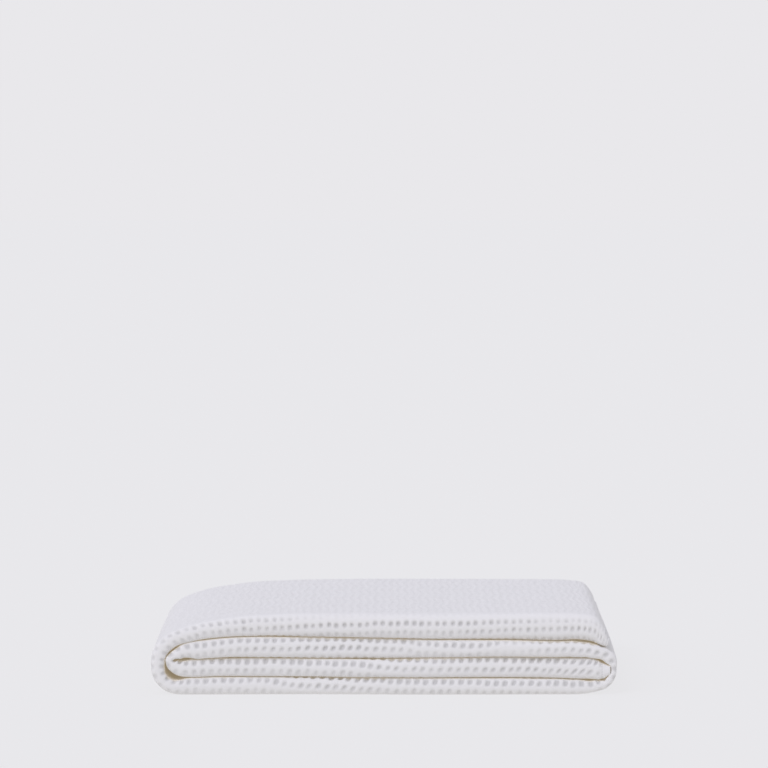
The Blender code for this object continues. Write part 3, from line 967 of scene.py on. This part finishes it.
def cotton_material():
    """Undyed cotton: matt, with fine yarns, and with painted shade in its pits.

    In the folds it has painted warm shade, and gives off a painted glow for the light that
    comes through.
    """
    material = bpy.data.materials.new("waffle_cotton")
    material.use_nodes = True
    graph = Graph(material)
    shader = graph.nodes["Principled BSDF"]
    u, v, _ = graph.parts("cell")
    fold, pit, edge = graph.parts("shade")
    place = graph.nodes.new("ShaderNodeAttribute")
    place.attribute_name = "cell"
    fuzz = graph.add("ShaderNodeTexNoise", Vector=place.outputs["Vector"],
                     Scale=FUZZ_SCALE, Detail=FUZZ_DETAIL).outputs["Fac"]
    stitches = stitch_mask(graph, u, v, edge)

    # painted shade: the pits' bottoms and the stitches' dashes darkened
    dark = graph.math("ADD", graph.math("MULTIPLY", pit, PIT_SHADE),
                      graph.math("MULTIPLY", stitches, STITCH_SHADE))
    # painted warm shade in the folds
    colour = graph.mix(fold, COTTON, COTTON_PAINTED_FOLD_SHADE)
    mottle = graph.ramp(fuzz, *FUZZ_RANGE, MOTTLE, 0.0)
    colour = graph.mix(graph.math("ADD", dark, mottle), colour, BLACK)
    graph.feed(shader.inputs["Base Color"], colour)
    graph.feed(shader.inputs["Roughness"], graph.ramp(fuzz, *FUZZ_RANGE, *ROUGHNESS))
    # a painted glow in the folds
    shader.inputs["Emission Color"].default_value = PAINTED_GLOW_IN_FOLDS
    graph.feed(shader.inputs["Emission Strength"], fold)
    shader.inputs["Specular IOR Level"].default_value = SPECULAR
    shader.inputs["Sheen Weight"].default_value = SHEEN
    shader.inputs["Sheen Roughness"].default_value = SHEEN_ROUGHNESS

    height = graph.math("SUBTRACT", yarn_height(graph, u, v, fuzz), stitches)
    bump = graph.add("ShaderNodeBump", Height=height, Distance=YARN_HEIGHT,
                     Strength=BUMP_STRENGTH)
    graph.feed(shader.inputs["Normal"], bump.outputs["Normal"])
    return material


# ---- the room --------------------------------------------------------------------------

BACKGROUND = (0.8148, 0.8070, 0.8308, 1.0)         # only the camera sees this
SKY_LOW = (0.528, 0.532, 0.583, 1.0)               # the light from the sides
SKY_HIGH = (0.806, 0.812, 0.892, 1.0)              # and from straight above
FLOOR_GLOW = (0.719, 0.714, 0.730, 1.0)            # the floor's own light
FLOOR = (0.10, 0.10, 0.10, 1.0)
FLOOR_SIZE = 40.0          # in metres
KEY_STRENGTH = 0.96
KEY_COLOUR = (0.985, 0.985, 1.10)
KEY_SPREAD = 30.0          # how wide the light is, in degrees
KEY_HEIGHT = 42.0          # how high it stands
KEY_BEARING = -35.0        # from straight in front, and to the left when below 0


def build_sky():
    """An even pale room to the camera, and a soft light from above to the rest."""
    world = bpy.data.worlds.new("room")
    world.use_nodes = True
    graph = Graph(world)
    direction = graph.nodes.new("ShaderNodeTexCoord").outputs["Generated"]
    height = graph.add("ShaderNodeSeparateXYZ", Vector=direction).outputs["Z"]
    share = graph.math("MAXIMUM", height, 0.0)
    light = graph.nodes["Background"]
    graph.feed(light.inputs["Color"], graph.mix(share, SKY_LOW, SKY_HIGH))
    plain = graph.add("ShaderNodeBackground", Color=BACKGROUND)
    choice = graph.nodes.new("ShaderNodeMixShader")
    seen = graph.nodes.new("ShaderNodeLightPath").outputs["Is Camera Ray"]
    graph.feed(choice.inputs[0], seen)
    graph.feed(choice.inputs[1], light.outputs[0])
    graph.feed(choice.inputs[2], plain.outputs[0])
    graph.feed(graph.nodes["World Output"].inputs["Surface"], choice.outputs[0])
    bpy.context.scene.world = world


def build_floor():
    """A pale floor, lit partly from below, so that only a faint shadow shows."""
    material = bpy.data.materials.new("floor")
    material.use_nodes = True
    shader = material.node_tree.nodes["Principled BSDF"]
    shader.inputs["Base Color"].default_value = FLOOR
    shader.inputs["Roughness"].default_value = 1.0
    shader.inputs["Specular IOR Level"].default_value = 0.0
    shader.inputs["Emission Color"].default_value = FLOOR_GLOW
    shader.inputs["Emission Strength"].default_value = 1.0
    bpy.ops.mesh.primitive_plane_add(size=FLOOR_SIZE)
    floor = bpy.context.object
    floor.name = "floor"
    floor.data.materials.append(material)


def build_key():
    """One soft light, high in front and from the left."""
    light = bpy.data.lights.new("key", "SUN")
    light.energy = KEY_STRENGTH
    light.color = KEY_COLOUR
    light.angle = math.radians(KEY_SPREAD)
    key = bpy.data.objects.new("key", light)
    key.rotation_euler = (math.radians(90.0 - KEY_HEIGHT), 0.0, math.radians(KEY_BEARING))
    bpy.context.scene.collection.objects.link(key)


# ---- the camera ------------------------------------------------------------------------

CAMERA_PLACE = (-0.0010, -5.0875, 0.6344)          # in metres
CAMERA_PITCH = 86.504      # in degrees, 90 is level
CAMERA_LENS = 214.87       # in millimetres, as is the sensor
SENSOR_WIDTH = 36.0
CLIP_END = 100.0


def build_camera():
    """The photograph's view: from the front, a little above, from far off."""
    data = bpy.data.cameras.new("camera")
    data.lens = CAMERA_LENS
    data.sensor_width = SENSOR_WIDTH
    data.clip_end = CLIP_END
    camera = bpy.data.objects.new("camera", data)
    camera.location = CAMERA_PLACE
    camera.rotation_euler = (math.radians(CAMERA_PITCH), 0.0, 0.0)
    bpy.context.scene.collection.objects.link(camera)
    bpy.context.scene.camera = camera


build_camera()
build_cloth(cotton_material())
build_sky()
build_floor()
build_key()
bpy.context.scene.view_settings.view_transform = "Standard"
